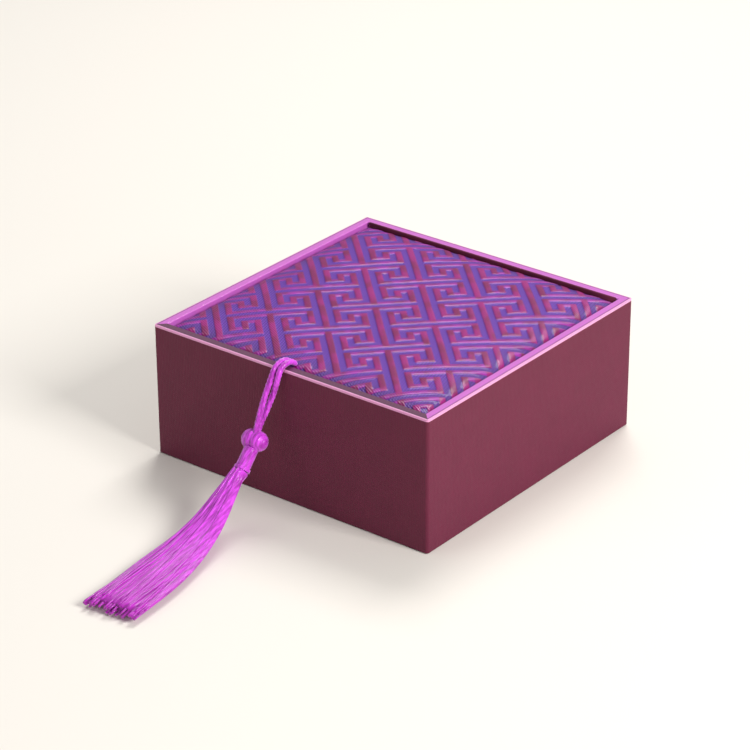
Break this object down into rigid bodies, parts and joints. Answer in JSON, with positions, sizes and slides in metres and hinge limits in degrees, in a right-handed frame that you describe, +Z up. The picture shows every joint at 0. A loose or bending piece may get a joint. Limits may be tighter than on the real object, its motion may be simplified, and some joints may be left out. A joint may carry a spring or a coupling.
{
  "type": "brocade keepsake box",
  "caption": "Square keepsake box with cloth-covered walls, a cushioned lining and a padded fret-pattern brocade lid hinged at the back, opened by a looped cord with a yarn tassel.",
  "frame": {"origin": "middle of the box's underside, on the table", "axes": "+Z up, +X to the right along the front wall, -Y towards the tassel at the front"},
  "size_m": [0.1, 0.1807, 0.0444],
  "materials": {
    "board": "matt grey board",
    "underside_paper": "matt dark paper",
    "maroon_cloth": "fine plain weave",
    "rim_satin": "glossy satin ribbon",
    "lining_satin": "soft satin",
    "hinge_cloth": "thin plain cloth",
    "foam": "open foam",
    "brocade": "silky woven figure",
    "tassel_yarn": "silky yarn"
  },
  "bodies": {
    "base": {"underside_sheet": "underside_paper", "base_board": "board", "front_wall_board": "board", "back_wall_board": "board", "left_wall_board": "board", "right_wall_board": "board", "outer_cover": "maroon_cloth", "front_rim_satin": "rim_satin", "back_rim_satin": "rim_satin", "left_rim_satin": "rim_satin", "right_rim_satin": "rim_satin", "front_liner_board": "board", "back_liner_board": "board", "left_liner_board": "board", "right_liner_board": "board", "liner_satin": "lining_satin", "cushion_foam": "foam", "cushion_cover": "lining_satin", "hinge_cloth": "hinge_cloth"},
    "lid": {"lid_panel": "lining_satin", "lid_board": "board", "lid_foam": "foam", "brocade_cover": "brocade"},
    "tassel_head": {"cord_left_leg": "tassel_yarn", "cord_right_leg": "tassel_yarn", "tassel_knot": "tassel_yarn", "neck_binding": "tassel_yarn"},
    "skirt": {"tassel_skirt": "tassel_yarn"}
  },
  "joints": [
    {"name": "lid_hinge", "type": "hinge", "parent": "base", "child": "lid", "pos_m": [0, 0.04657, 0.0419], "axis": [-1, 0, 0], "range_deg": [0, 95]},
    {"name": "tassel_swing", "type": "hinge", "parent": "lid", "child": "tassel_head", "pos_m": [-0.002, -0.0454, 0.0392], "axis": [-1, 0, 0], "range_deg": [-105, 0]},
    {"name": "skirt_swing", "type": "hinge", "parent": "tassel_head", "child": "skirt", "pos_m": [-0.0041, -0.0684, 0.0142], "axis": [-1, 0, 0], "range_deg": [-62, 0]}
  ],
  "couplings": [
    {"joint": "tassel_swing", "follows": "lid_hinge", "ratio": -1.1},
    {"joint": "skirt_swing", "follows": "lid_hinge", "ratio": -0.65}
  ]
}
